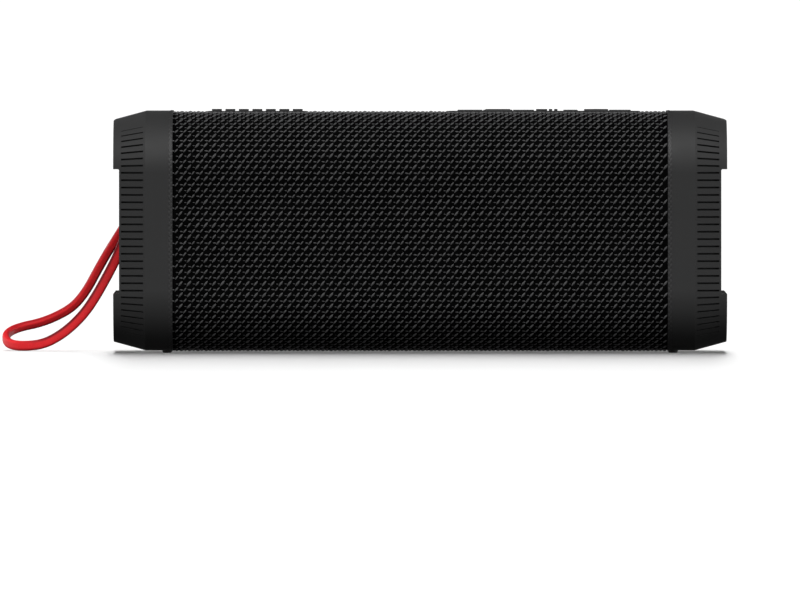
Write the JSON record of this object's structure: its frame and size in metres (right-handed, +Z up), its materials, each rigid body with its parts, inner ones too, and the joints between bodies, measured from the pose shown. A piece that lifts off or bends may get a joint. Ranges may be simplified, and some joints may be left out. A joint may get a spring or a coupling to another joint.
{
  "type": "shower speaker",
  "caption": "Portable speaker: fabric-wrapped rounded-square body between ribbed end caps, with top keys, end radiators, a rear port door and a wrist strap.",
  "frame": {"origin": "on the surface it stands on, under the middle of the body, strap left out", "axes": "+X along the body to its right end, -Y towards the front, +Z up"},
  "size_m": [0.2211, 0.07, 0.0739],
  "materials": {
    "cap_rubber": "matt rubberised skin, dark grey",
    "wrap_fabric": "open woven polyester, black",
    "housing_plastic": "moulded ABS, fine texture, black",
    "trim_rubber": "moulded rubber, black",
    "key_rubber": "moulded silicone, dark grey",
    "cover_rubber": "moulded rubber, black",
    "foot_rubber": "soft rubber, black",
    "seal_rubber": "foam rubber, black",
    "surround_rubber": "smooth butyl rubber, black",
    "radiator_metal": "spun and dark anodised",
    "basket_steel": "pressed steel, black",
    "motor_steel": "zinc-plated steel and ferrite",
    "cone_plastic": "polypropylene, black",
    "spider_fabric": "resin-treated cloth, straw",
    "screw_steel": "nickel-plated steel",
    "circuit_board": "glass-epoxy board with solder mask, green",
    "electronics": "moulded packages, black",
    "socket_metal": "nickel-plated shell",
    "socket_plastic": "moulded nylon, black",
    "battery_sleeve": "cells in a shrink sleeve, blue",
    "anchor_plastic": "glass-filled nylon, black",
    "strap_cord": "braided polyester cord, red"
  },
  "bodies": {
    "root": {"aux_socket": "socket_plastic", "battery_cells": "battery_sleeve", "battery_tray": "housing_plastic", "board_parts": "electronics", "driver_screws": "screw_steel", "end_screws": "screw_steel", "fabric_wrap": "wrap_fabric", "front_grille": "housing_plastic", "front_housing": "housing_plastic", "housing_screws": "screw_steel", "housing_seal": "seal_rubber", "key_board": "circuit_board", "key_board_screws": "screw_steel", "key_frame": "trim_rubber", "key_switches": "electronics", "left_driver_basket": "basket_steel", "left_driver_gasket": "seal_rubber", "left_driver_motor": "motor_steel", "left_driver_spider": "spider_fabric", "left_driver_surround": "surround_rubber", "left_end_cap": "cap_rubber", "left_end_gasket": "seal_rubber", "left_end_plate": "housing_plastic", "left_foot": "foot_rubber", "left_radiator_frame": "housing_plastic", "left_radiator_surround": "surround_rubber", "main_board": "circuit_board", "main_board_screws": "screw_steel", "port_board": "circuit_board", "port_board_screws": "screw_steel", "port_cover_pin": "screw_steel", "rear_housing": "housing_plastic", "relief_strip": "trim_rubber", "right_driver_basket": "basket_steel", "right_driver_gasket": "seal_rubber", "right_driver_motor": "motor_steel", "right_driver_spider": "spider_fabric", "right_driver_surround": "surround_rubber", "right_end_cap": "cap_rubber", "right_end_gasket": "seal_rubber", "right_end_plate": "housing_plastic", "right_foot": "foot_rubber", "right_radiator_frame": "housing_plastic", "right_radiator_surround": "surround_rubber", "strap_anchor": "anchor_plastic", "usb_socket": "socket_metal", "wrist_strap": "strap_cord"},
    "power_key": {"power_key": "key_rubber"},
    "volume_down_key": {"volume_down_key": "key_rubber"},
    "pairing_key": {"pairing_key": "key_rubber"},
    "play_key": {"play_key": "key_rubber"},
    "link_key": {"link_key": "key_rubber"},
    "volume_up_key": {"volume_up_key": "key_rubber"},
    "sound_key": {"sound_key": "key_rubber"},
    "port_door": {"port_cover": "cover_rubber"},
    "left_radiator": {"left_radiator_plate": "radiator_metal"},
    "left_cone": {"left_driver_cone": "cone_plastic"},
    "right_radiator": {"right_radiator_plate": "radiator_metal"},
    "right_cone": {"right_driver_cone": "cone_plastic"}
  },
  "joints": [
    {"name": "power_key_press", "type": "slide", "parent": "root", "child": "power_key", "axis": [0, 0, -1], "range_m": [0, 0.0003], "stiffness_N_per_m": 600, "springref_m": -0.001},
    {"name": "volume_down_key_press", "type": "slide", "parent": "root", "child": "volume_down_key", "axis": [0, 0, -1], "range_m": [0, 0.0004], "stiffness_N_per_m": 600, "springref_m": -0.001},
    {"name": "pairing_key_press", "type": "slide", "parent": "root", "child": "pairing_key", "axis": [0, 0, -1], "range_m": [0, 0.0003], "stiffness_N_per_m": 600, "springref_m": -0.001},
    {"name": "play_key_press", "type": "slide", "parent": "root", "child": "play_key", "axis": [0, 0, -1], "range_m": [0, 0.0004], "stiffness_N_per_m": 600, "springref_m": -0.001},
    {"name": "link_key_press", "type": "slide", "parent": "root", "child": "link_key", "axis": [0, 0, -1], "range_m": [0, 0.0003], "stiffness_N_per_m": 600, "springref_m": -0.001},
    {"name": "volume_up_key_press", "type": "slide", "parent": "root", "child": "volume_up_key", "axis": [0, 0, -1], "range_m": [0, 0.0004], "stiffness_N_per_m": 600, "springref_m": -0.001},
    {"name": "sound_key_press", "type": "slide", "parent": "root", "child": "sound_key", "axis": [0, 0, -1], "range_m": [0, 0.0003], "stiffness_N_per_m": 600, "springref_m": -0.001},
    {"name": "port_door_swing", "type": "hinge", "parent": "root", "child": "port_door", "pos_m": [-0.0171, 0.0341, 0.03705], "axis": [0, 0, 1], "range_deg": [0, 110]},
    {"name": "left_radiator_stroke", "type": "slide", "parent": "root", "child": "left_radiator", "axis": [-1, 0, 0], "range_m": [-0.0025, 0.0025], "stiffness_N_per_m": 800, "deforming": ["left_radiator_surround"]},
    {"name": "right_radiator_stroke", "type": "slide", "parent": "root", "child": "right_radiator", "axis": [1, 0, 0], "range_m": [-0.0025, 0.0025], "stiffness_N_per_m": 800, "deforming": ["right_radiator_surround"]},
    {"name": "left_cone_stroke", "type": "slide", "parent": "root", "child": "left_cone", "axis": [0, -1, 0], "range_m": [-0.002, 0.002], "stiffness_N_per_m": 900, "deforming": ["left_driver_surround", "left_driver_spider"]},
    {"name": "right_cone_stroke", "type": "slide", "parent": "root", "child": "right_cone", "axis": [0, -1, 0], "range_m": [-0.002, 0.002], "stiffness_N_per_m": 900, "deforming": ["right_driver_surround", "right_driver_spider"]}
  ]
}
